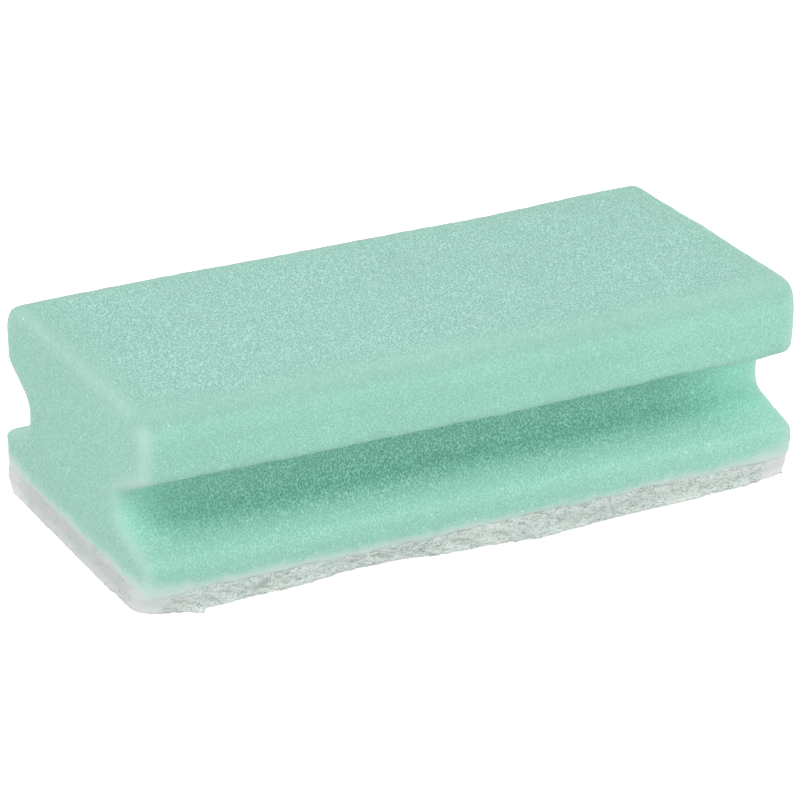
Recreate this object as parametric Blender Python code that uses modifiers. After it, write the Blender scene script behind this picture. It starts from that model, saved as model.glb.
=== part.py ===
"""Grip sponge: a contour-cut foam hand block on a non-woven scouring pad.

Metres, +Z up. X runs along the sponge and -Y is its front. The origin is the centre of
the pad's underside, on which the sponge rests.
"""

import math

import bmesh
import bpy
from mathutils import Matrix, Vector

# Foam block
LENGTH = 0.150
FOAM_HEIGHT = 0.0378
NOSE_WIDTH = 0.0660
FLANGE_WIDTH = 0.0696
FLANGE_HEIGHT = 0.0066
# How far the flange draws in on each side, down to the bond
FOOT_TAPER = 0.0011

# Finger groove at the front, cut a little deeper and lower than the back one.
# A web is measured from the centre plane, and the rises are heights of the walls.
FRONT_WEB = 0.0200
FRONT_FLOOR_RISE = 0.0043
FRONT_ROOT_HEIGHT = 0.0057
FRONT_ROOF_RISE = 0.0074

# Finger groove at the back
BACK_WEB = 0.0222
BACK_FLOOR_RISE = 0.0067
BACK_ROOT_HEIGHT = 0.0048
BACK_ROOF_RISE = 0.0055

# Rounded edges of the foam
TOP_EDGE_RADIUS = 0.0060
NOSE_EDGE_RADIUS = 0.0035
GROOVE_ROOF_RADIUS = 0.0030
GROOVE_FLOOR_RADIUS = 0.0032
FLANGE_EDGE_RADIUS = 0.0018
FOOT_EDGE_RADIUS = 0.0017
END_EDGE_RADIUS = 0.0016

# Scouring pad
PAD_THICKNESS = 0.0060
BOND_GAP = 0.0003
PAD_END_SETBACK = 0.0004
PAD_CORNER_RADIUS = 0.0025
# The front left corner of the pad is cut rounder
PAD_CUT_CORNER_RADIUS = 0.0065
# The long sides swell at mid-height and draw in towards the underside
PAD_BULGE = 0.0009
PAD_TOE_IN = 0.0012
# Waves of the ragged edge: how many run round the pad, height of each, phase
FRAY_WAVES = ((3, 0.0011, 3.0), (6, 0.0007, 6.0), (17, 0.0004, 5.5), (43, 0.0003, 2.9))
# Share of the raggedness left at the bond, and on the short ends
BOND_FRAY_SHARE = 0.15
END_FRAY_SHARE = 0.2

# Fineness of the meshes
ARC_STEP = math.radians(12)
END_EDGE_SEGMENTS = 3
PAD_POINT_SPACING = 0.0020
PAD_LEVELS = (0.0, 0.15, 0.4, 0.65, 0.88, 1.0)
# A rounded corner takes at most this share of the edges beside it
FILLET_SHARE = 0.48
SHARP_ANGLE = math.radians(40)
WELD_DISTANCE = 0.000001

FOAM_COLOR = (0.366, 0.679, 0.565, 1.0)
FOAM_ROUGHNESS = 0.95
PAD_COLOR = (0.610, 0.658, 0.617, 1.0)
PAD_ROUGHNESS = 0.9


def clear_scene():
    for item in list(bpy.context.scene.objects):
        bpy.data.objects.remove(item, do_unlink=True)


def make_material(name, color, roughness):
    material = bpy.data.materials.new(name)
    material.use_nodes = True
    shader = material.node_tree.nodes["Principled BSDF"]
    shader.inputs["Base Color"].default_value = color
    shader.inputs["Roughness"].default_value = roughness
    shader.inputs["Metallic"].default_value = 0.0
    return material


def corner_arc(before, corner, after, radius):
    """The points of the arc that rounds one corner of an outline."""
    back = before - corner
    ahead = after - corner
    half_angle = back.angle(ahead) / 2
    reach = radius / math.tan(half_angle)
    reach = min(reach, FILLET_SHARE * back.length, FILLET_SHARE * ahead.length)
    radius = reach * math.tan(half_angle)
    inward = (back.normalized() + ahead.normalized()).normalized()
    centre = corner + inward * (radius / math.sin(half_angle))
    spoke = corner + back.normalized() * reach - centre
    sweep = math.pi - 2 * half_angle
    if back.cross(ahead) > 0:
        sweep = -sweep
    steps = max(2, math.ceil(abs(sweep) / ARC_STEP))
    return [centre + Matrix.Rotation(sweep * i / steps, 2) @ spoke for i in range(steps + 1)]


def rounded_outline(corners):
    """A closed outline through (x, y, radius) corners, each rounded to its radius."""
    places = [Vector((x, y)) for x, y, radius in corners]
    outline = []
    for i, (x, y, radius) in enumerate(corners):
        after = places[(i + 1) % len(places)]
        outline += corner_arc(places[i - 1], places[i], after, radius)
    return outline


def foam_side(side, web, floor_rise, root_height, roof_rise):
    """Corners of one side of the foam's section, from its top edge to its foot.

    The side is -1 at the front and +1 at the back, and web is the distance from the
    centre plane to the bottom of the groove.
    """
    nose = NOSE_WIDTH / 2
    flange = FLANGE_WIDTH / 2
    foot_z = PAD_THICKNESS + BOND_GAP
    flange_z = foot_z + FLANGE_HEIGHT
    floor_z = flange_z + floor_rise
    roof_z = floor_z + root_height
    nose_z = roof_z + roof_rise
    return [
        (side * nose, foot_z + FOAM_HEIGHT, TOP_EDGE_RADIUS),
        (side * nose, nose_z, NOSE_EDGE_RADIUS),
        (side * web, roof_z, GROOVE_ROOF_RADIUS),
        (side * web, floor_z, GROOVE_FLOOR_RADIUS),
        (side * flange, flange_z, FLANGE_EDGE_RADIUS),
        (side * (flange - FOOT_TAPER), foot_z, FOOT_EDGE_RADIUS),
    ]


def extruded_outline(name, outline, thickness):
    """A mesh object of a flat outline in YZ, extruded evenly to both sides along X."""
    curve = bpy.data.curves.new(name + "_outline", "CURVE")
    curve.dimensions = "2D"
    curve.fill_mode = "BOTH"
    curve.extrude = thickness / 2
    spline = curve.splines.new("POLY")
    spline.points.add(len(outline) - 1)
    for point, place in zip(spline.points, outline):
        point.co = (place.x, place.y, 0.0, 1.0)
    spline.use_cyclic_u = True
    guide = bpy.data.objects.new(name + "_outline", curve)
    bpy.context.scene.collection.objects.link(guide)
    guide.rotation_euler = (math.pi / 2, 0.0, math.pi / 2)
    bpy.context.view_layer.update()

    evaluated = guide.evaluated_get(bpy.context.evaluated_depsgraph_get())
    mesh = bpy.data.meshes.new_from_object(evaluated)
    mesh.name = name
    block = bpy.data.objects.new(name, mesh)
    block.matrix_world = guide.matrix_world
    bpy.data.objects.remove(guide, do_unlink=True)

    bm = bmesh.new()
    bm.from_mesh(mesh)
    bmesh.ops.remove_doubles(bm, verts=bm.verts, dist=WELD_DISTANCE)
    bmesh.ops.dissolve_limit(bm, angle_limit=ARC_STEP / 10, verts=bm.verts, edges=bm.edges)
    bmesh.ops.recalc_face_normals(bm, faces=bm.faces)
    bm.to_mesh(mesh)
    bm.free()
    return block


def make_foam_body(collection):
    """The hand block: its section is cut along the whole length, and its ends are rounded."""
    front = foam_side(-1, FRONT_WEB, FRONT_FLOOR_RISE, FRONT_ROOT_HEIGHT, FRONT_ROOF_RISE)
    back = foam_side(1, BACK_WEB, BACK_FLOOR_RISE, BACK_ROOT_HEIGHT, BACK_ROOF_RISE)
    outline = rounded_outline(front + back[::-1])
    block = extruded_outline("foam_body", outline, LENGTH)
    collection.objects.link(block)

    rounding = block.modifiers.new("end_edges", "BEVEL")
    rounding.width = END_EDGE_RADIUS
    rounding.segments = END_EDGE_SEGMENTS
    rounding.limit_method = "ANGLE"
    rounding.angle_limit = SHARP_ANGLE
    block.data.shade_smooth()
    block.data.set_sharp_from_angle(angle=SHARP_ANGLE)
    block.data.materials.append(make_material("mint_foam", FOAM_COLOR, FOAM_ROUGHNESS))
    return block


def pad_outline():
    """The pad's plan outline at the bond, as evenly spaced points with outward normals."""
    half_length = LENGTH / 2 - PAD_END_SETBACK
    half_width = FLANGE_WIDTH / 2 - FOOT_TAPER
    outline = rounded_outline([
        (-half_length, -half_width, PAD_CUT_CORNER_RADIUS),
        (half_length, -half_width, PAD_CORNER_RADIUS),
        (half_length, half_width, PAD_CORNER_RADIUS),
        (-half_length, half_width, PAD_CORNER_RADIUS),
    ])
    sides = list(zip(outline, outline[1:] + outline[:1]))
    perimeter = sum((end - start).length for start, end in sides)
    count = round(perimeter / PAD_POINT_SPACING)
    points = []
    walked = 0.0
    for start, end in sides:
        side = end - start
        while len(points) < count and len(points) * perimeter / count < walked + side.length:
            along = len(points) * perimeter / count - walked
            place = start + side.normalized() * along
            points.append((place, Vector((side.y, -side.x)).normalized()))
        walked += side.length
    return points


def pad_ring(points, level):
    """The pad's outline at a level from 0, the underside, to 1, the bond."""
    swell = PAD_BULGE * math.sin(math.pi * level) - PAD_TOE_IN * (1 - level) ** 2
    fray = 1 - level * (1 - BOND_FRAY_SHARE)
    ring = []
    for i, (place, outward) in enumerate(points):
        around = 2 * math.pi * i / len(points)
        wave = sum(height * math.sin(waves * around + phase)
                   for waves, height, phase in FRAY_WAVES)
        sideways = outward.y ** 2
        ragged = END_FRAY_SHARE + (1 - END_FRAY_SHARE) * sideways
        spot = place + outward * (swell * sideways + fray * ragged * wave)
        ring.append((spot.x, spot.y, level * PAD_THICKNESS))
    return ring


def make_scouring_pad(collection):
    """The pad: a loft through its ragged outlines, with a flat underside."""
    points = pad_outline()
    bm = bmesh.new()
    loops = []
    for level in PAD_LEVELS:
        verts = [bm.verts.new(spot) for spot in pad_ring(points, level)]
        loops.append([bm.edges.new(pair) for pair in zip(verts, verts[1:] + verts[:1])])
    for lower, upper in zip(loops, loops[1:]):
        bmesh.ops.bridge_loops(bm, edges=lower + upper)
    for rim in (loops[0], loops[-1]):
        bmesh.ops.contextual_create(bm, geom=rim)
    bmesh.ops.recalc_face_normals(bm, faces=bm.faces)
    mesh = bpy.data.meshes.new("scouring_pad")
    bm.to_mesh(mesh)
    bm.free()
    mesh.shade_smooth()
    mesh.set_sharp_from_angle(angle=SHARP_ANGLE)
    mesh.materials.append(make_material("pad_fibre", PAD_COLOR, PAD_ROUGHNESS))
    pad = bpy.data.objects.new("scouring_pad", mesh)
    collection.objects.link(pad)
    return pad


def main():
    clear_scene()
    collection = bpy.data.collections.new("grip_sponge")
    bpy.context.scene.collection.children.link(collection)
    make_foam_body(collection)
    make_scouring_pad(collection)


main()
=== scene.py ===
"""Looks of the grip sponge: a foam hand block bonded on a non-woven scouring pad.

Metres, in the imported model's own frame. X runs along the sponge, -Y is its front and
the pad rests on z = 0.
"""

import math
import random

import bpy
from bpy.props import FloatProperty, FloatVectorProperty, IntProperty, PointerProperty
from mathutils import Matrix, Vector, noise
from mathutils.kdtree import KDTree


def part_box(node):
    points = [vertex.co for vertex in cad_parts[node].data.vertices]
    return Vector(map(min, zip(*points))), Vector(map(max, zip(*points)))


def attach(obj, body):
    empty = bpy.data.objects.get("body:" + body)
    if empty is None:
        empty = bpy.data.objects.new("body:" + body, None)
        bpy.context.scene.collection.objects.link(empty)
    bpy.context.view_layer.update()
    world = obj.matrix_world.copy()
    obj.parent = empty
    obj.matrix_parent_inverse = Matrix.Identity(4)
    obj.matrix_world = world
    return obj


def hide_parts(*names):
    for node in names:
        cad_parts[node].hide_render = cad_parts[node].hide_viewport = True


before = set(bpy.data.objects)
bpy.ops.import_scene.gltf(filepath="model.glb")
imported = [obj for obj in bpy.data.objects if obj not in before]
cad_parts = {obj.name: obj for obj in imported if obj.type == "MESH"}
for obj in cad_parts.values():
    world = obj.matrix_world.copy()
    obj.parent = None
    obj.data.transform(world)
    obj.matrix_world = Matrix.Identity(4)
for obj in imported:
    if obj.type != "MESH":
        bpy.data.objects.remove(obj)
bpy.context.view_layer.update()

bl_info = {
    "name": "Grip Sponge",
    "version": (1, 0, 0),
    "blender": (4, 5, 0),
    "location": "3D View > Sidebar > Sponge",
    "description": "Makes a contour-cut foam grip sponge on a scouring pad, with its stage",
    "category": "Object",
}

FOAM_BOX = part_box("foam_body")
PAD_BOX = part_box("scouring_pad")

MILLIMETRE = 0.001
MERGE_DISTANCE = 0.01 * MILLIMETRE
MOST_TRIANGLES = 200000

HALF_LENGTH = FOAM_BOX[1].x
FOAM_FOOT = FOAM_BOX[0].z
PAD_TOP = PAD_BOX[1].z
# The nose of the foam, and the flange's side where it meets the pad
NOSE_FACE = 0.0330
FOOT_FACE = 0.0337
# Two corners of the front's section before they are rounded: y, z and the way in
FLANGE_CORNER = (-0.0348, 0.0129, 0.80, -0.60)
NOSE_CORNER = (-0.0330, 0.0303, 0.865, 0.50)
# How far the nose's lower edge hangs down at places along the front, how far the foam's
# right end stands out at heights, how far the foot of the foam runs down at places along
# the front, and how far the pad's lower edge draws in from the foot there. All are in
# millimetres. The last table is painted light and shade along the pad's front: how much
# paler or darker it is painted, mostly against the shade where its lower edge draws in.
NOSE_DROP = (
    (-75, 0.18), (-61, 0.26), (-50, 0.35), (-39, 0.57), (-28, 0.64), (-17, 0.75), (-6, 0.86),
    (6, 1.08), (18, 0.90), (30, 0.88), (36, 0.75), (41, 0.30), (47, 0.20), (50.5, 0.45),
    (54, 0.40), (57, 0.80), (60, 1.00), (66, 1.00), (75, 0.75))
RIGHT_END_SWELL = (
    (8.5, 0.0), (10.5, 0.42), (12.5, 0.38), (15, 0.0), (19, 0.15), (26, 0.25), (30, 0.1),
    (33, -0.2), (40, -0.2), (43, 0.3))
FOOT_DROP = (
    (-75, 0.4), (-64, 0.3), (-54, 0.1), (-40, 0.1), (-35, 0.5), (-26, 0.6), (-16, 0.45),
    (-11, 0.65), (-2, 0.45), (8, 0.75), (17, 0.65), (22, 1.1), (27, 1.0), (31, 0.75),
    (41, 0.3), (50, 0.35), (55, 0.6), (60, 0.15), (65, 0.5), (75, 0.3))
FRONT_DRAW_IN = (
    (-74.6, 9.0), (-74.2, 6.7), (-73.2, 5.2), (-71.5, 3.9), (-70, 3.6), (-68, 3.2), (-66, 2.0),
    (-64, 1.8), (-60, 1.7), (-57, 1.5), (-53, 1.9), (-40, 1.9), (-28, 3.7), (-18, 3.2),
    (-6, 1.2), (5, 0.5), (14, -1.1), (24, -0.3), (29, 0.2), (44, 0.5), (53, 0.5), (61, 0.9),
    (66, 1.1), (71, 2.2), (75, 2.8))
FRONT_PAINTED_LIGHT = (
    (-75, 0.05), (-50, 0.05), (-24, 0.17), (0, 0.02), (30, -0.07), (55, 0.0), (75, 0.0))

# How far from the nose's corner its hang reaches, how far from an end its swell reaches,
# and how far the flange's side leans out for each metre of height
HANG_REACH = 4.0 * MILLIMETRE
END_REACH = 4 * MILLIMETRE
FLANGE_SLOPE = 0.17
# The foot of the foam's front lies beyond this, and runs down by FOOT_DROP
FRONT_START = -30 * MILLIMETRE
# How far the foot runs down elsewhere
PLAIN_DROP = 0.5 * MILLIMETRE
# The outline of an end lies between these distances from it, inside its rounding
END_OUTLINE = (1.0 * MILLIMETRE, 2.5 * MILLIMETRE)
# How far in from a cut edge the painted highlight reaches, and how far the search for one goes
HIGHLIGHT_REACH = 2.1 * MILLIMETRE
HIGHLIGHT_SEARCH = 8 * MILLIMETRE
# How far the foot turns whitish over the bond, in millimetres: at least, mostly, and how
# much more at a corner
BOND_LEAST = 0.4
BOND_RISE = 2.0
BOND_CORNER_RISE = 3.4
# Above this lie the foam's long top edges
TOP_EDGE = 38 * MILLIMETRE

# Dyes, and painted shade, sheen and glints, that tint the colours of the settings
PORE_DYE = (0.84, 0.89, 0.88)
GROOVE_SHADE_TINT = (0.91, 1.0, 1.0)
TOP_SHEEN_TINT = (0.62, 0.86, 0.93)
GLINT_COLOUR = (0.84, 0.96, 0.92)
PATCH_COLOUR = (0.765, 0.832, 0.785)
PRESSED_DYE = (1.0, 0.945, 0.975)
# The mean distance to the middle of a cell, taken off so that the grain is about 0, and
# how far the cells are turned from the length of the block
CELL_MIDDLE = 0.53
CELL_TURN = math.radians(29)

# How the loose fibres vary: their shapes, bend and sway in degrees, how far they tip out of
# the surface and roll, and their shares of the set length and width
FIBRE_SHAPES = 8
FIBRE_BEND = 22
FIBRE_SWAY = 70
FIBRE_CUTS = 4
FIBRE_TIP = 0.06
FIBRE_ROLL = 0.35
FIBRE_STRETCH = (0.6, 1.35)
FIBRE_THICKNESS = (0.75, 1.3)
# Round the corners, which are pressed smooth, no fibres are laid
BARE_CORNER = 6 * MILLIMETRE

CAMERA_RIGHT = -0.507 * MILLIMETRE
CAMERA_UP = -2.312 * MILLIMETRE
CAMERA_AIM_HEIGHT = 22 * MILLIMETRE
CAMERA_SHIFT = -0.00106
SENSOR_WIDTH = 36.0
FLOOR_SIZE = 6.0
FLOOR_GREY = (0.86, 0.86, 0.86)
WHITE = (1.0, 1.0, 1.0)
# Each lamp's size and place, in metres, and where both point
KEY_LAMP = (0.9, (-0.80, -0.55, 1.04))
FILL_LAMP = (0.45, (0.62, -0.50, 0.24))
LAMP_AIM = (0, 0, 0.02)


class FoamSettings(bpy.types.PropertyGroup):
    mesh_step: FloatProperty(
        name="Mesh step", description="Edge length of the foam's mesh",
        default=0.74 * MILLIMETRE, unit="LENGTH", precision=5)
    wave: FloatProperty(
        name="Waviness", description="Height of the slow waves that the cutting wire leaves",
        default=0.18 * MILLIMETRE, unit="LENGTH", precision=5)
    relief: FloatProperty(
        name="Relief", description="Height of the small unevenness of the cut surface",
        default=0.09 * MILLIMETRE, unit="LENGTH", precision=5)
    pore_size: FloatProperty(
        name="Pore size", description="Width of one cell of the foam",
        default=0.385 * MILLIMETRE, unit="LENGTH", precision=5)
    colour: FloatVectorProperty(
        name="Foam", description="Colour of the cell walls", subtype="COLOR",
        size=3, min=0.0, max=1.0, default=(0.430, 0.755, 0.640))
    pore_colour: FloatVectorProperty(
        name="Pores", description="Colour deep in the cells", subtype="COLOR",
        size=3, min=0.0, max=1.0, default=(0.220, 0.488, 0.390))
    # Painted highlight along the cut edges, which catch light from two sides
    edge_colour: FloatVectorProperty(
        name="Cut edges", description="Paler colour along the cut edges", subtype="COLOR",
        size=3, min=0.0, max=1.0, default=(0.530, 0.730, 0.685))
    foot_colour: FloatVectorProperty(
        name="Foot", description="Whitish colour of the foam at its bond with the pad",
        subtype="COLOR", size=3, min=0.0, max=1.0, default=(0.650, 0.775, 0.725))


class PadSettings(bpy.types.PropertyGroup):
    mesh_step: FloatProperty(
        name="Mesh step", description="Edge length of the pad's mesh",
        default=0.62 * MILLIMETRE, unit="LENGTH", precision=5)
    relief: FloatProperty(
        name="Relief", description="Height of the matted unevenness of the pad's sides",
        default=0.07 * MILLIMETRE, unit="LENGTH", precision=5)
    fibre_layer: FloatProperty(
        name="Fibre layer", description="Depth of the loose fibres on the pad's sides",
        default=0.34 * MILLIMETRE, unit="LENGTH", precision=5)
    underside_recess: FloatProperty(
        name="Underside recess", description="Depth of the fibre layer under the pad",
        default=0.22 * MILLIMETRE, unit="LENGTH", precision=5)
    fibre_width: FloatProperty(
        name="Fibre width", description="Thickness of one fibre",
        default=0.08 * MILLIMETRE, unit="LENGTH", precision=5)
    fibre_length: FloatProperty(
        name="Fibre length", description="Mean length of the free end of a fibre",
        default=2.0 * MILLIMETRE, unit="LENGTH", precision=5)
    long_side_fibres: IntProperty(
        name="Fibres on a long side", description="Fibres laid on the front and on the back",
        default=1600, min=0)
    end_fibres: IntProperty(
        name="Fibres on an end", description="Fibres laid on each short end",
        default=110, min=0)
    underside_fibres: IntProperty(
        name="Fibres underneath", description="Fibres laid on the underside",
        default=4500, min=0)
    colour: FloatVectorProperty(
        name="Pad", description="Colour of the matted fibres", subtype="COLOR",
        size=3, min=0.0, max=1.0, default=(0.745, 0.837, 0.800))
    gap_colour: FloatVectorProperty(
        name="Gaps", description="Colour of the gaps between the fibres", subtype="COLOR",
        size=3, min=0.0, max=1.0, default=(0.345, 0.420, 0.385))


class StageSettings(bpy.types.PropertyGroup):
    azimuth: FloatProperty(
        name="Azimuth", description="Where the camera stands round the sponge",
        default=math.radians(-29.011), subtype="ANGLE")
    elevation: FloatProperty(
        name="Elevation", description="How far above the sponge the camera stands",
        default=math.radians(25.064), subtype="ANGLE")
    roll: FloatProperty(
        name="Roll", description="Turn of the camera about its own axis",
        default=math.radians(1.448), subtype="ANGLE")
    distance: FloatProperty(
        name="Distance", description="From the camera to the middle of the sponge",
        default=816.3 * MILLIMETRE, unit="LENGTH")
    lens: FloatProperty(
        name="Lens", description="Focal length of the camera, in millimetres",
        default=176.55)
    world_light: FloatProperty(
        name="World light", description="Level of the even light from all around",
        default=0.66, min=0.0)
    key_light: FloatProperty(
        name="Key light", description="Level of the large lamp above and in front",
        default=0.42, min=0.0)
    fill_light: FloatProperty(
        name="Fill light", description="Level of the lamp low on the right",
        default=0.24, min=0.0)


class Socket:
    """An output socket, so that shader maths is written as arithmetic."""

    def __init__(self, finish, socket):
        self.finish = finish
        self.socket = socket

    def math(self, operation, *values):
        return self.finish.node("ShaderNodeMath", {"operation": operation}, dict(enumerate(values)))

    def __add__(self, other):
        return self.math("ADD", self, other)

    def __sub__(self, other):
        return self.math("SUBTRACT", self, other)

    def __rsub__(self, other):
        return self.math("SUBTRACT", other, self)

    def __mul__(self, other):
        return self.math("MULTIPLY", self, other)

    def __gt__(self, other):
        return self.math("GREATER_THAN", self, other)

    __radd__ = __add__
    __rmul__ = __mul__

    def larger(self, other):
        return self.math("MAXIMUM", self, other)

    def step(self, low, high):
        """A soft step, from 0 where the value is low to 1 where it is high."""
        return self.finish.node(
            "ShaderNodeMapRange", {"interpolation_type": "SMOOTHSTEP"},
            {"Value": self, "From Min": low, "From Max": high})


class Finish:
    """A node tree in the making. Every node in it comes from its node method."""

    def __init__(self, owner):
        owner.use_nodes = True
        self.tree = owner.node_tree
        self.tree.nodes.clear()

    def node(self, kind, settings=None, sockets=None, output=0):
        """Adds a node of a type, with its settings made first, and gives one of its outputs."""
        node = self.tree.nodes.new(kind)
        for name, value in (settings or {}).items():
            setattr(node, name, value)
        for name, value in (sockets or {}).items():
            entry = node.inputs[name]
            if isinstance(value, Socket):
                self.tree.links.new(value.socket, entry)
            elif entry.type == "RGBA" and len(value) == 3:
                entry.default_value = (*value, 1.0)
            else:
                entry.default_value = value
        return Socket(self, node.outputs[output]) if len(node.outputs) else None

    def place(self):
        return self.node("ShaderNodeTexCoord", output="Object")

    def seen(self):
        """1 where the camera looks, straight or through gloss and glass."""
        rays = ("Is Camera Ray", "Is Glossy Ray", "Is Transmission Ray")
        camera, gloss, glass = (self.node("ShaderNodeLightPath", output=ray) for ray in rays)
        return camera.larger(gloss).larger(glass)

    def scaled(self, place, scale):
        return self.node("ShaderNodeVectorMath", {"operation": "MULTIPLY"}, {0: place, 1: scale})

    def noise(self, place, size, detail=2.0, roughness=0.5):
        """Cloudy noise whose clouds are about as wide as size, in metres."""
        return self.node("ShaderNodeTexNoise", None, {
            "Vector": place, "Scale": 1 / size, "Detail": detail, "Roughness": roughness})

    def cells(self, place, size, output="Distance"):
        """Cells about as wide as size, in metres."""
        return self.node("ShaderNodeTexVoronoi", {"feature": "F1"}, {
            "Vector": place, "Scale": 1 / size}, output)

    def mix(self, amount, first, second):
        """Two colours mixed: the first where the amount is 0 and the second where it is 1."""
        return self.node("ShaderNodeMix", {"data_type": "RGBA"}, {
            0: amount, 6: first, 7: second}, 2)

    def stain(self, amount, colour, dye):
        """A colour multiplied by a dye, as far as the amount says."""
        return self.node("ShaderNodeMix", {"data_type": "RGBA", "blend_type": "MULTIPLY"}, {
            0: amount, 6: colour, 7: dye}, 2)

    def tint(self, colour, level):
        """A colour made lighter or darker by a level, with the same hue."""
        grey = self.node("ShaderNodeCombineColor", None, {0: level, 1: level, 2: level})
        return self.stain(1.0, colour, grey)

    def mark(self, name):
        """One of the piece's own point attributes."""
        return self.node("ShaderNodeAttribute", {"attribute_name": name}, None, "Fac")

    def bump(self, relief, depth, strength=1.0):
        """A normal from a relief between 0 and 1 that is depth metres high."""
        return self.node("ShaderNodeBump", None, {
            "Height": relief, "Distance": depth, "Strength": strength})

    def surface(self, **sockets):
        """Joins a Principled shader to the output. Its sockets are named with underscores."""
        named = {name.replace("_", " "): value for name, value in sockets.items()}
        shader = self.node("ShaderNodeBsdfPrincipled", None, named)
        self.node("ShaderNodeOutputMaterial", None, {"Surface": shader})


def clear_selection():
    if bpy.context.object and bpy.context.object.mode != "OBJECT":
        bpy.ops.object.mode_set(mode="OBJECT")
    bpy.ops.object.select_all(action="DESELECT")


def take_up(piece):
    """Makes one piece the only selected and active one."""
    clear_selection()
    piece.select_set(True)
    bpy.context.view_layer.objects.active = piece


def finish_modifier(piece, kind, **settings):
    """Adds a modifier and applies it."""
    modifier = piece.modifiers.new(kind.title(), kind)
    for name, value in settings.items():
        setattr(modifier, name, value)
    take_up(piece)
    bpy.ops.object.modifier_apply(modifier=modifier.name)


def merged_copy(node, name):
    """A new piece with a CAD node's shape, its loose triangles merged."""
    piece = bpy.data.objects.new(name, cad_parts[node].data.copy())
    piece.data.name = name
    piece.data.materials.clear()
    bpy.context.scene.collection.objects.link(piece)
    take_up(piece)
    bpy.ops.object.mode_set(mode="EDIT")
    bpy.ops.mesh.select_all(action="SELECT")
    bpy.ops.mesh.remove_doubles(threshold=MERGE_DISTANCE)
    bpy.ops.mesh.normals_make_consistent(inside=False)
    bpy.ops.object.mode_set(mode="OBJECT")
    return piece


def fine_skin(node, name, step, trim):
    """A closed, evenly meshed copy of a CAD node, with its outline trimmed first."""
    form = merged_copy(node, name + "_form")
    move_points(form, trim)
    piece = bpy.data.objects.new(name, form.data.copy())
    piece.data.name = name
    bpy.context.scene.collection.objects.link(piece)
    finish_modifier(piece, "REMESH", mode="VOXEL", voxel_size=step)
    finish_modifier(piece, "SHRINKWRAP", target=form)
    bpy.data.objects.remove(form, do_unlink=True)
    return piece


def move_points(piece, shift):
    """Moves each point by what shift gives for its place and its normal."""
    points = piece.data.vertices
    shifts = [shift(point.co.copy(), point.normal.copy()) for point in points]
    for point, way in zip(points, shifts):
        point.co += way
    piece.data.update()


def soft_step(value, low, high):
    """A soft step, from 0 where the value is low to 1 where it is high."""
    share = min(1.0, max(0.0, (value - low) / (high - low)))
    return share * share * (3 - 2 * share)


def step_mm(value, low, high):
    """A soft step of a value in metres between two places given in millimetres."""
    return soft_step(value, low * MILLIMETRE, high * MILLIMETRE)


def bell(offset, width):
    """1 where the offset is 0, and falling off softly over the width."""
    share = offset / width
    return math.exp(-share ** 2)


def clouds(spot, per_metre):
    """Smooth noise from about -1 to 1, with so many clouds to a metre."""
    return noise.noise(spot * per_metre)


def between(table, x, unit=MILLIMETRE):
    """The value at a place, from a table of places in millimetres and values in a unit."""
    places = [(place * MILLIMETRE, value * unit) for place, value in table]
    x = min(max(x, places[0][0]), places[-1][0])
    for (start, value), (end, next_value) in zip(places, places[1:]):
        if x <= end:
            return value + (next_value - value) * soft_step(x, start, end)
    return places[-1][1]


def foot_drop(spot):
    """How far the foot of the foam runs down at a spot, besides what it does all round."""
    return between(FOOT_DROP, spot.x) if spot.y < FRONT_START else PLAIN_DROP


def check_size(piece):
    piece.data.calc_loop_triangles()
    if len(piece.data.loop_triangles) >= MOST_TRIANGLES:
        raise RuntimeError(piece.name + " has too many triangles")


def hand_over(piece):
    """Smooths a finished piece and puts it on the frame."""
    take_up(piece)
    bpy.ops.object.shade_smooth()
    check_size(piece)
    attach(piece, "root")


def section_tree(node):
    """A search tree of the points round a node's section, seen along X."""
    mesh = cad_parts[node].data
    near, far = END_OUTLINE
    spacing = 0.25 * MILLIMETRE
    points = []
    for edge in mesh.edges:
        start, end = (mesh.vertices[i].co for i in edge.vertices)
        if abs(start.x) < HALF_LENGTH - far or abs(start.x) > HALF_LENGTH - near:
            continue
        if start.x * end.x < 0 or abs(start.x - end.x) > MERGE_DISTANCE:
            continue
        steps = max(1, math.ceil((end - start).length / spacing))
        points += [start.lerp(end, i / steps) for i in range(steps + 1)]
    tree = KDTree(len(points))
    for i, point in enumerate(points):
        tree.insert((0.0, point.y, point.z), i)
    tree.balance()
    return tree


def eased(spot, corner, depth, reach):
    """Eases a long edge inwards, most at its corner, given as y, z and its way in."""
    y, z, inward_y, inward_z = corner
    near = bell(math.hypot(spot.y - y, spot.z - z), reach)
    return Vector((0.0, inward_y, inward_z)) * depth * near


def keep_marks(piece, names, rows):
    """Keeps named numbers at each point, from a row of numbers for each."""
    for name, values in zip(names, zip(*rows)):
        mark = piece.data.attributes.new(name, "FLOAT", "POINT")
        mark.data.foreach_set("value", values)


def edge_highlight_at(spot, inward, outline):
    """How much painted highlight a cut edge gets, from a search tree of the end's outline."""
    edge_highlight = 0.0
    if inward < HIGHLIGHT_SEARCH:
        across = outline.find((0.0, spot.y, spot.z))[2]
        cloud = clouds(spot, 190)
        edge_highlight = bell(math.hypot(inward, across), HIGHLIGHT_REACH) * (0.90 + 0.35 * cloud)
        # It shows most on the upright edges of the nose
        edge_highlight *= 0.6 + 0.4 * step_mm(spot.z, 22, 30)
        edge_highlight *= 1 - 0.5 * step_mm(spot.z, 40, 43.5)
    # The long top edges get a little painted highlight too
    if spot.z > TOP_EDGE:
        behind = NOSE_FACE - abs(spot.y)
        edge_highlight = max(edge_highlight, 0.28 * bell(behind - 3.4 * MILLIMETRE, 2.4 * MILLIMETRE))
    return edge_highlight


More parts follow.
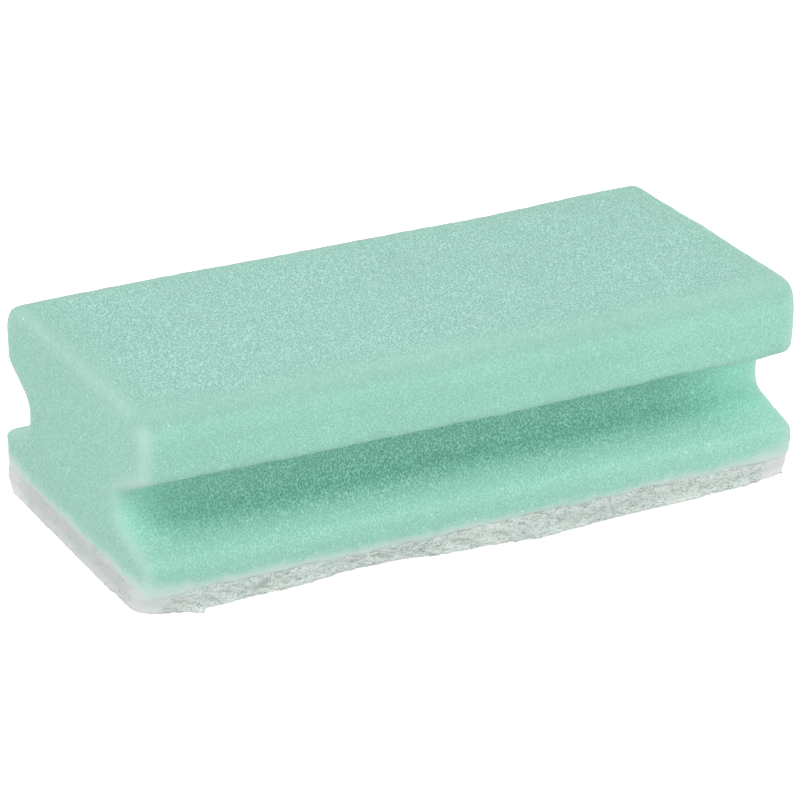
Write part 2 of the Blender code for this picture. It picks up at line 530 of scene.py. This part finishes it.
def bonded_at(spot, inward):
    """How far the foot turns whitish, up to an uneven line that rises at the corners."""
    corner = 1 - step_mm(math.hypot(inward, FOOT_FACE - abs(spot.y)), 0, 13)
    rise = BOND_RISE + BOND_CORNER_RISE * corner
    rise = rise + 1.6 * clouds(spot, 330) + 1.1 * clouds(spot, 900)
    rise = max(BOND_LEAST, rise) * MILLIMETRE
    height = spot.z + foot_drop(spot)
    return 1 - soft_step(height, FOAM_FOOT - 0.5 * MILLIMETRE, FOAM_FOOT + rise)


def painted_light_at(spot, normal, inward, under):
    """How much painted light makes the foam paler there, or painted shade deeper where it is less
    than 0.
    """
    behind = NOSE_FACE - abs(spot.y)
    groove = step_mm(behind, 0.5, 9) * under
    facing = soft_step(abs(normal.x), 0.4, 0.9)
    # Painted light where light comes in at the ends of a groove, and further at the right one
    if spot.x < 0:
        painted_light = 0.12 * groove * (1 - step_mm(inward, 2, 12))
    else:
        painted_light = 0.27 * groove * (1 - step_mm(inward, 3, 28))
    painted_light *= 1 - facing
    # Painted shade dulls the long top edges, which the light makes too bright
    if spot.z > TOP_EDGE:
        dull = bell(spot.z - 42.5 * MILLIMETRE, 1.7 * MILLIMETRE)
        painted_light -= 0.11 * dull * (1 - step_mm(behind, 3, 7))
    # Painted light makes the flange's foot and the nose's face paler, and more so towards the right
    right = step_mm(spot.x, 20, 60)
    low = 1 - step_mm(spot.z, 14, 18)
    painted_light += (0.035 + 0.02 * right) * low * (1 - facing)
    nose = (1 - under) * soft_step(abs(normal.y), 0.5, 0.9)
    painted_light += (0.015 + 0.03 * right) * nose
    return painted_light


def mark_foam(piece):
    """Keeps how the foam looks at each point, as shares from 0 to 1.

    The marks, in order: the painted highlight along a cut edge; how far the foot turns whitish;
    how deep the point lies in a groove, where painted shade deepens the colour; how open its
    cells are, with the painted sheen of the flat top; and painted light, how much paler the foam
    is painted, or how much deeper as painted shade where it is less than 0.
    """
    outline = section_tree("foam_body")
    rows = []
    for point in piece.data.vertices:
        spot, normal = point.co, point.normal
        inward = HALF_LENGTH - abs(spot.x)
        behind = NOSE_FACE - abs(spot.y)
        under = 1 - step_mm(spot.z, 30, 31.5)
        groove = step_mm(behind, 0.5, 9) * under
        # How deep the point lies in the groove, where the colour is painted deeper as painted shade
        groove_shade = groove * step_mm(inward, 1.5, 9 if spot.x < 0 else 20)
        # Deep in the groove the grain is painted stronger, as light falling aslant there shows it
        groove_grain = groove * step_mm(inward, 1.5, 16)
        groove_grain *= 0.5 + 0.5 * step_mm(inward, 10, 55)
        # The flat top gets painted sheen, paler and bluer, and stronger grain
        top = soft_step(normal.z, 0.3, 0.98) * (1 - under)
        top *= step_mm(behind, 1, 12)
        top *= step_mm(inward, -3, 13)
        end = 0.12 * soft_step(abs(normal.x), 0.4, 0.9)
        rows.append((
            edge_highlight_at(spot, inward, outline), bonded_at(spot, inward), groove_shade,
            max(top, groove_grain, end), painted_light_at(spot, normal, inward, under)))
    keep_marks(piece, ("edge_highlight", "bonded", "groove_shade", "open_and_sheen", "painted_light"), rows)


def foam_material(settings):
    """Open-cell foam: two sizes of pores, a whitish foot, and painted glints, light and shade."""
    material = bpy.data.materials.new("mint_foam")
    finish = Finish(material)
    place = finish.place()
    size = settings.pore_size
    edge_highlight, bonded, groove_shade, open_cells_and_sheen, painted_light = (
        finish.mark(name) for name in ("edge_highlight", "bonded", "groove_shade", "open_and_sheen", "painted_light"))
    # The cells are drawn out, aslant to the length of the block
    turned = finish.node("ShaderNodeMapping", None, {
        "Vector": place, "Rotation": (0.0, 0.0, CELL_TURN)})
    long_cells = finish.scaled(turned, (1.30, 0.48, 0.85))
    # Grain about its middle: cells that are cut open, and smaller ones between them
    cells = finish.cells(long_cells, size) - CELL_MIDDLE
    small = finish.cells(long_cells, 0.62 * size) - CELL_MIDDLE
    patchy = finish.noise(place, 6 * MILLIMETRE, 2.0)
    grain = (cells * 1.7 + small * 1.2) * (
        0.31 + patchy * 0.34 + open_cells_and_sheen * (0.43 + groove_shade * 0.28))
    grain = grain * (1 - edge_highlight * 0.6) * (1 - bonded * 0.5)
    pores = finish.stain(open_cells_and_sheen, settings.pore_colour[:], PORE_DYE)
    colour = finish.mix(0.5 + grain, pores, settings.colour[:])
    drift = finish.noise(place, 24 * MILLIMETRE, 2.0)
    drift = drift + finish.noise(place, 3 * MILLIMETRE, 1.0) * 0.6
    # Painted light and shade lift or deepen the colour, and open cells are painted a little paler
    colour = finish.tint(colour, 0.92 + drift * 0.1 + open_cells_and_sheen * 0.065 + painted_light)
    # Painted shade: the colour is painted deeper in the groove, where the foam lights itself
    colour = finish.stain(groove_shade, colour, GROOVE_SHADE_TINT)
    # Painted sheen: open cells on the flat top are painted paler and bluer, as grazing light makes
    # them look
    colour = finish.mix(open_cells_and_sheen * (1 - groove_shade) * 0.11, colour, TOP_SHEEN_TINT)
    # Painted highlight: the cut edges are painted paler where they catch light from two sides
    colour = finish.mix(edge_highlight * 0.72, colour, settings.edge_colour[:])
    colour = finish.mix(bonded * 0.95, colour, settings.foot_colour[:])
    # A few cell walls face the light and glint
    apart = 2.4 * MILLIMETRE
    chance = finish.node("ShaderNodeSeparateColor", None, {
        0: finish.cells(place, apart, "Color")}, 1)
    spot = finish.cells(place, apart)
    glint = (chance > 0.80) * (1 - spot.step(0.05, 0.13)) * chance
    colour = finish.mix(glint * 0.8, colour, GLINT_COLOUR)
    finish.surface(
        Base_Color=colour, Roughness=0.96, Normal=finish.bump(grain, 0.16 * MILLIMETRE, 0.5),
        Subsurface_Weight=0.3, Subsurface_Radius=(0.8, 1.2, 1.0),
        Subsurface_Scale=0.9 * MILLIMETRE, Sheen_Weight=0.2, Sheen_Tint=(1.0, 0.93, 0.94, 1.0),
        Specular_IOR_Level=0.12)
    return material


def pad_material(settings, name, gaps, tone):
    """Matted fibres: fine level streaks, with small dark gaps between them."""
    material = bpy.data.materials.new(name)
    finish = Finish(material)
    place = finish.place()
    # The cut ends and the corners are pressed smooth
    plain = finish.mark("plain")
    flat = finish.scaled(place, (1.0, 1.0, 1.7))
    streaks = finish.noise(flat, 0.50 * MILLIMETRE, 1.0, 0.5)
    specks = finish.noise(flat, 0.30 * MILLIMETRE, 0.0)
    gap = (streaks * 0.35 + specks * 0.65).step(0.45, 0.31) * (1 - plain * 0.9) * gaps
    patches = finish.noise(place, 9 * MILLIMETRE, 2.0)
    colour = finish.mix(patches.step(0.35, 0.7), settings.colour[:], PATCH_COLOUR)
    colour = finish.mix(gap, colour, settings.gap_colour[:])
    # Painted shade makes the mat darker and greyer towards the bond, under the foam's foot,
    # and it is paler at its lower edge and rim
    height = finish.node("ShaderNodeSeparateXYZ", None, {0: place}, 2)
    shade_under_foot = height.step(1.6 * MILLIMETRE, 3.2 * MILLIMETRE)
    low = 1 - height.step(0.4 * MILLIMETRE, 2.2 * MILLIMETRE)
    rim = height.step(4.9 * MILLIMETRE, 5.9 * MILLIMETRE)
    level = tone + finish.mark("tone") - shade_under_foot * 0.09 + low * 0.05 + rim * 0.05
    colour = finish.tint(colour, level + (specks - 0.5) * (0.30 - plain * 0.12))
    colour = finish.stain(plain, colour, PRESSED_DYE)
    relief = streaks * 0.4 + specks * 0.6
    finish.surface(
        Base_Color=colour, Roughness=0.9, Normal=finish.bump(relief, 0.14 * MILLIMETRE, 0.5),
        Subsurface_Weight=0.4, Subsurface_Radius=(1.0, 1.0, 1.0),
        Subsurface_Scale=0.4 * MILLIMETRE, Sheen_Weight=0.1, Specular_IOR_Level=0.25)
    return material


def mark_pad(piece):
    """Keeps how the pad looks at each point: how smoothly it is pressed, and its tone."""
    rows = []
    for point in piece.data.vertices:
        spot, normal = point.co, point.normal
        inward = HALF_LENGTH - abs(spot.x)
        corner = 1 - step_mm(math.hypot(inward, FOOT_FACE - abs(spot.y)), 3, 13)
        end = soft_step(abs(normal.x), 0.5, 0.9) * (1 - step_mm(inward, 0, 4))
        tone = 0.04 * corner - 0.10 * end * (1 - corner)
        # Along the front the tone holds painted light and shade, mostly against the shade where the
        # lower edge draws in
        if normal.y < -0.5:
            tone += between(FRONT_PAINTED_LIGHT, spot.x, 1.0) * (1 - end)
        rows.append((max(end, corner), tone))
    keep_marks(piece, ("plain", "tone"), rows)


def wear_front(spot, out):
    """Adds to a shift the ease of the front's long edges and the hang of the nose's."""
    out += eased(spot, FLANGE_CORNER, 0.60 * MILLIMETRE, 2.7 * MILLIMETRE)
    # The nose's lower edge is crisp and uneven, and wears round at the right end
    crisp = 1 - 3.2 * step_mm(spot.x, 66, 75)
    crisp += 0.5 * noise.noise(Vector((spot.x * 330, 0.0, 8.7)))
    out -= eased(spot, NOSE_CORNER, 0.34 * MILLIMETRE, 1.5 * MILLIMETRE) * crisp
    y, z = NOSE_CORNER[:2]
    hang = math.exp(-((spot.y - y) ** 2 + (spot.z - z) ** 2) / HANG_REACH ** 2)
    out.z -= hang * between(NOSE_DROP, spot.x)
    return out


def cut_askew(spot, out):
    """Adds to a shift how far the ends and the top were cut out of square."""
    right = soft_step(spot.x, HALF_LENGTH - END_REACH, HALF_LENGTH)
    out.x += right * between(RIGHT_END_SWELL, spot.z)
    left = soft_step(-spot.x, HALF_LENGTH - END_REACH, HALF_LENGTH)
    out.x -= left * step_mm(spot.z, 9, 14) * 0.35 * MILLIMETRE
    # The right end is short towards the back, above the groove
    short = 1.15 * step_mm(spot.y, -4, 26)
    short += 0.5 * step_mm(spot.y, -32, -10)
    short *= step_mm(spot.z, 30, 40)
    out.x -= right * short * MILLIMETRE
    # The top rises towards the right, and sinks at the left end
    lift = step_mm(spot.x, 30, 66) * 0.8 * MILLIMETRE
    lift *= 1 - 0.4 * step_mm(-spot.y, 0, 30)
    lift -= (1 - step_mm(spot.x, -72, -42)) * 0.4 * MILLIMETRE
    out.z += lift * step_mm(spot.z, 34, 43)
    return out


def run_down(spot, out):
    """Adds to a shift how the foot runs down over the bond and tapers into the pad."""
    foot = 1 - soft_step(spot.z, FOAM_FOOT, FOAM_FOOT + 2.5 * MILLIMETRE)
    ragged = noise.noise(Vector((spot.x * 260, spot.y * 260, 3.1)))
    ragged += 0.6 * noise.noise(Vector((spot.x * 640, spot.y * 640, 5.2)))
    out.z -= foot * ((0.90 + 0.45 * ragged) * MILLIMETRE + foot_drop(spot))
    low, high = FOAM_FOOT - 0.2 * MILLIMETRE, FOAM_FOOT + 1.1 * MILLIMETRE
    taper = 1 - soft_step(spot.z, low, high)
    at_end = abs(spot.x) > HALF_LENGTH - 2 * MILLIMETRE
    at_side = abs(spot.y) > FOOT_FACE - 2 * MILLIMETRE
    inwards = Vector((
        math.copysign(1, spot.x) * at_end, math.copysign(1, spot.y) * at_side, 0))
    out -= inwards * taper * 0.5 * MILLIMETRE
    return out


class SPONGE_OT_foam_block(bpy.types.Operator):
    """Make the foam hand block in place of its plain solid"""
    bl_idname = "sponge.foam_block"
    bl_label = "Foam block"

    def execute(self, context):
        settings = context.scene.sponge_foam

        def square_foot(spot, normal):
            """Takes the rounding off the foot, which meets the pad flush."""
            way = Vector()
            if spot.z > FOAM_FOOT + 1.75 * MILLIMETRE:
                return way
            if abs(spot.y) > 31.5 * MILLIMETRE:
                side = FOOT_FACE + FLANGE_SLOPE * (spot.z - FOAM_FOOT)
                way.y = math.copysign(side, spot.y) - spot.y
            if abs(spot.x) > HALF_LENGTH - 1.7 * MILLIMETRE:
                way.x = math.copysign(HALF_LENGTH - 0.1 * MILLIMETRE, spot.x) - spot.x
            return way

        def uneven(spot, normal):
            """Adds the waves and the unevenness of the cut, then its wear."""
            slow = noise.noise(Vector((spot.x * 45, spot.y * 90, spot.z * 90)))
            small = clouds(spot, 420)
            out = normal * (slow * settings.wave + small * settings.relief)
            if spot.y < 0:
                out = wear_front(spot, out)
            return run_down(spot, cut_askew(spot, out))

        piece = fine_skin("foam_body", "foam_block", settings.mesh_step, square_foot)
        move_points(piece, uneven)
        mark_foam(piece)
        piece.data.materials.append(foam_material(settings))
        hand_over(piece)
        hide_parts("foam_body")
        return {"FINISHED"}


class SPONGE_OT_pad_core(bpy.types.Operator):
    """Make the matted body of the scouring pad in place of its plain solid"""
    bl_idname = "sponge.pad_core"
    bl_label = "Pad core"

    def execute(self, context):
        settings = context.scene.sponge_pad

        def ragged_outline(spot, normal):
            """Draws the outline of the pad in and out, most of all at the underside."""
            way = Vector()
            low = 1 - spot.z / PAD_TOP
            inward = HALF_LENGTH - abs(spot.x)
            stand = (0.45 if spot.x < 0 else 1.0) * MILLIMETRE
            way.x = math.copysign(stand, spot.x) * (1 - step_mm(inward, 0, 4))
            # At the bond the corners are as sharp as the foam's
            across = FOOT_FACE - abs(spot.y)
            gap = max(0.0, min(inward, across)) * (1 - low)
            way.x += math.copysign(gap, spot.x)
            way.y += math.copysign(gap, spot.y)
            if spot.y < -24 * MILLIMETRE:
                edge = -FOOT_FACE + between(FRONT_DRAW_IN, spot.x) - 0.3 * MILLIMETRE
                way.y += (edge - spot.y) * low
            # The back left corner stands out a little
            back = math.hypot(HALF_LENGTH + spot.x, FOOT_FACE - spot.y)
            way.y += (1 - step_mm(back, 0, 9)) * 0.9 * MILLIMETRE
            return way

        piece = fine_skin("scouring_pad", "pad_core", settings.mesh_step, ragged_outline)

        def matted(spot, normal):
            """Adds matted relief, and takes off the room of the loose fibres."""
            side = 1 - soft_step(abs(normal.z), 0.35, 0.8)
            under = soft_step(-normal.z, 0.3, 0.8)
            mat = Vector((spot.x * 520, spot.y * 520, spot.z * 900))
            coarse = noise.noise(mat * 0.45)
            fine = noise.noise(mat)
            level = Vector((normal.x, normal.y, 0.0))
            relief = settings.relief * (0.7 * coarse + 0.6 * fine)
            out = level * side * (relief - settings.fibre_layer)
            # The upper rim draws in under the foot of the foam
            rim = soft_step(spot.z, PAD_TOP - 1.8 * MILLIMETRE, PAD_TOP)
            out -= level * rim * 0.45 * MILLIMETRE
            out.z += under * settings.underside_recess * (1 + 0.5 * clouds(spot, 700))
            # A torn flap near the front left corner ends in a step
            if normal.y < -0.2:
                flap = step_mm(spot.x, -66, -62.6)
                flap *= 1 - step_mm(spot.x, -62.2, -61.3)
                out.y -= flap * (1 - spot.z / PAD_TOP) ** 2 * 1.7 * MILLIMETRE
            return out

        move_points(piece, matted)
        mark_pad(piece)
        piece.data.materials.append(pad_material(settings, "pad_fibre_mat", 1.0, 0.95))
        hand_over(piece)
        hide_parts("scouring_pad")
        return {"FINISHED"}


def make_fibre(name, length, width, bend, sway):
    """One fibre, three-sided, bent about two axes and centred on the origin."""
    clear_selection()
    bpy.ops.mesh.primitive_cylinder_add(
        vertices=3, radius=width / 2, depth=length, end_fill_type="NGON", location=(0, 0, 0))
    fibre = bpy.context.object
    fibre.name = name
    bpy.ops.object.mode_set(mode="EDIT")
    bpy.ops.mesh.select_mode(type="EDGE")
    bpy.ops.mesh.select_all(action="DESELECT")
    bpy.ops.object.mode_set(mode="OBJECT")
    for edge in fibre.data.edges:
        start, end = (fibre.data.vertices[i].co for i in edge.vertices)
        edge.select = abs(start.z - end.z) > length / 2
    bpy.ops.object.mode_set(mode="EDIT")
    bpy.ops.mesh.subdivide(number_cuts=FIBRE_CUTS)
    bpy.ops.object.mode_set(mode="OBJECT")
    finish_modifier(fibre, "SIMPLE_DEFORM", deform_method="BEND", deform_axis="X", angle=bend)
    finish_modifier(fibre, "SIMPLE_DEFORM", deform_method="BEND", deform_axis="Y", angle=sway)
    middle = sum((v.co for v in fibre.data.vertices), Vector()) / len(fibre.data.vertices)
    fibre.data.transform(Matrix.Translation(-middle))
    return fibre


def lay_fibres(name, fibres, spots, count, rng, lean, lift, material):
    """Lays copies of the fibres on spots, which hold a place, a normal and a direction."""
    collection = bpy.context.scene.collection
    copies = []
    for i in range(count):
        place, normal, along = spots[rng.randrange(len(spots))]
        side = normal.cross(along).normalized()
        turn = rng.gauss(0.0, lean)
        way = (along * math.cos(turn) + side * math.sin(turn)).normalized()
        # Fibres tip out of the surface a little
        way = (way + normal * rng.gauss(0.0, FIBRE_TIP)).normalized()
        if rng.random() < 0.5:
            way = -way
        across = way.cross(normal).normalized()
        up = across.cross(way)
        roll = Matrix.Rotation(rng.gauss(0.0, FIBRE_ROLL), 3, way)
        basis = Matrix((roll @ across, roll @ up, way)).transposed().to_4x4()
        size = rng.uniform(*FIBRE_STRETCH)
        thickness = rng.uniform(*FIBRE_THICKNESS)
        shape = Matrix.Diagonal((thickness, thickness, size)).to_4x4()
        spot = place + normal * rng.uniform(*lift)
        mesh = rng.choice(fibres).data.copy()
        mesh.transform(Matrix.Translation(spot) @ basis @ shape)
        low = min(v.co.z for v in mesh.vertices)
        if low < 0:
            mesh.transform(Matrix.Translation((0, 0, -low)))
        fibre = bpy.data.objects.new(name, mesh)
        collection.objects.link(fibre)
        copies.append(fibre)
    clear_selection()
    for fibre in copies:
        fibre.select_set(True)
    bpy.context.view_layer.objects.active = copies[0]
    bpy.ops.object.join()
    piece = bpy.context.object
    piece.name = name
    piece.data.name = name
    piece.data.materials.append(material)
    hand_over(piece)
    return piece


class SPONGE_OT_pad_fibres(bpy.types.Operator):
    """Lay the loose fibres on the sides, the ends and the underside of the pad"""
    bl_idname = "sponge.pad_fibres"
    bl_label = "Pad fibres"

    def execute(self, context):
        settings = context.scene.sponge_pad
        rng = random.Random(7)
        fibres = []
        for i in range(FIBRE_SHAPES):
            length = settings.fibre_length * rng.uniform(0.7, 1.3)
            bend = math.radians(rng.uniform(-FIBRE_BEND, FIBRE_BEND))
            sway = math.radians(rng.uniform(-FIBRE_SWAY, FIBRE_SWAY))
            fibres.append(make_fibre("fibre_%d" % i, length, settings.fibre_width, bend, sway))
        core = bpy.data.objects["pad_core"].data
        sides = {
            "fibres_front": (Vector((0, -1, 0)), settings.long_side_fibres),
            "fibres_back": (Vector((0, 1, 0)), settings.long_side_fibres),
            "fibres_left": (Vector((-1, 0, 0)), settings.end_fibres),
            "fibres_right": (Vector((1, 0, 0)), settings.end_fibres),
            "fibres_under": (Vector((0, 0, -1)), settings.underside_fibres),
        }
        material = pad_material(settings, "pad_fibre_strands", 0.6, 0.95)
        for name, (facing, count) in sides.items():
            spots = []
            for face in core.polygons:
                if face.normal.dot(facing) < 0.6:
                    continue
                inward = HALF_LENGTH - abs(face.center.x)
                across = FOOT_FACE - abs(face.center.y)
                on_side = 0.1 * MILLIMETRE < face.center.z < PAD_TOP
                bare = math.hypot(inward, across) < BARE_CORNER
                if facing.z == 0 and (bare or not on_side):
                    continue
                along = face.normal.cross(Vector((0, 0, 1)))
                if facing.z:
                    along = Vector((1, 0, 0))
                spots.append((face.center.copy(), face.normal.copy(), along.normalized()))
            # Underneath the fibres lie every way, and on the sides mostly level
            lean = 1.6 if facing.z else 0.38
            lift = (-0.05 * MILLIMETRE, (0.10 if facing.z else 0.12) * MILLIMETRE)
            lay_fibres(name, fibres, spots, count, rng, lean, lift, material)
        for fibre in fibres:
            bpy.data.objects.remove(fibre, do_unlink=True)
        return {"FINISHED"}


def point_lamp(name, level, size, spot, aim):
    """A square area lamp that lights a surface facing it at about the given level."""
    lamp = bpy.data.lights.new(name, "AREA")
    lamp.size = size
    way = aim - spot
    lamp.energy = level * math.pi ** 2 * way.length_squared
    thing = bpy.data.objects.new(name, lamp)
    thing.location = spot
    thing.rotation_euler = way.to_track_quat("-Z", "Y").to_euler()
    bpy.context.scene.collection.objects.link(thing)


class SPONGE_OT_stage(bpy.types.Operator):
    """Set the floor, the light and the camera"""
    bl_idname = "sponge.stage"
    bl_label = "Stage"

    def execute(self, context):
        settings = context.scene.sponge_stage
        clear_selection()
        bpy.ops.mesh.primitive_plane_add(size=FLOOR_SIZE, location=(0, 0, 0))
        floor = context.object
        floor.name = "floor"
        material = bpy.data.materials.new("white_floor")
        finish = Finish(material)
        seen = finish.seen()
        paint = finish.node("ShaderNodeBsdfDiffuse", None, {
            "Color": finish.mix(seen, FLOOR_GREY, WHITE)})
        glow = finish.node("ShaderNodeEmission", None, {
            "Color": WHITE, "Strength": seen * 0.6})
        both = finish.node("ShaderNodeAddShader", None, {0: paint, 1: glow})
        finish.node("ShaderNodeOutputMaterial", None, {"Surface": both})
        floor.data.materials.append(material)

        world = bpy.data.worlds.new("studio")
        context.scene.world = world
        finish = Finish(world)
        seen = finish.seen()
        level = settings.world_light + seen * (1 - settings.world_light)
        light = finish.node("ShaderNodeBackground", None, {
            "Color": WHITE, "Strength": level})
        finish.node("ShaderNodeOutputWorld", None, {"Surface": light})

        for name, level, (size, spot) in (
                ("key", settings.key_light, KEY_LAMP), ("fill", settings.fill_light, FILL_LAMP)):
            point_lamp(name, level, size, Vector(spot), Vector(LAMP_AIM))

        azimuth, elevation, roll = settings.azimuth, settings.elevation, settings.roll
        back = Vector((math.sin(azimuth) * math.cos(elevation),
                       -math.cos(azimuth) * math.cos(elevation), math.sin(elevation)))
        right = (-back).cross(Vector((0, 0, 1))).normalized()
        up = right.cross(-back)
        spot = (back * settings.distance + right * CAMERA_RIGHT + up * CAMERA_UP
                + Vector((0, 0, CAMERA_AIM_HEIGHT)))
        across = right * math.cos(roll) + up * math.sin(roll)
        over = up * math.cos(roll) - right * math.sin(roll)
        turn = Matrix((across, over, back)).transposed().to_4x4()
        camera = bpy.data.objects.new("camera", bpy.data.cameras.new("camera"))
        camera.data.lens = settings.lens
        camera.data.sensor_width = SENSOR_WIDTH
        camera.data.shift_x = CAMERA_SHIFT
        camera.data.clip_start = 0.05
        camera.data.clip_end = 30.0
        camera.matrix_world = Matrix.Translation(spot) @ turn
        context.scene.collection.objects.link(camera)
        context.scene.camera = camera
        context.scene.view_settings.view_transform = "Standard"
        return {"FINISHED"}


class SPONGE_PT_panel(bpy.types.Panel):
    """Sidebar panel with the sponge's pieces"""
    bl_idname = "SPONGE_PT_panel"
    bl_label = "Grip Sponge"
    bl_space_type = "VIEW_3D"
    bl_region_type = "UI"
    bl_category = "Sponge"

    def draw(self, context):
        for operator in OPERATORS:
            self.layout.operator(operator.bl_idname)


OPERATORS = (SPONGE_OT_stage, SPONGE_OT_foam_block, SPONGE_OT_pad_core, SPONGE_OT_pad_fibres)
SETTINGS = {"sponge_foam": FoamSettings, "sponge_pad": PadSettings, "sponge_stage": StageSettings}


def register():
    for item in (*SETTINGS.values(), *OPERATORS, SPONGE_PT_panel):
        bpy.utils.register_class(item)
    for name, group in SETTINGS.items():
        setattr(bpy.types.Scene, name, PointerProperty(type=group))


def unregister():
    for name in SETTINGS:
        delattr(bpy.types.Scene, name)
    for item in (SPONGE_PT_panel, *reversed(OPERATORS), *SETTINGS.values()):
        bpy.utils.unregister_class(item)


def main():
    register()
    bpy.ops.sponge.stage()
    bpy.ops.sponge.foam_block()
    bpy.ops.sponge.pad_core()
    bpy.ops.sponge.pad_fibres()


if __name__ == "__main__":
    main()
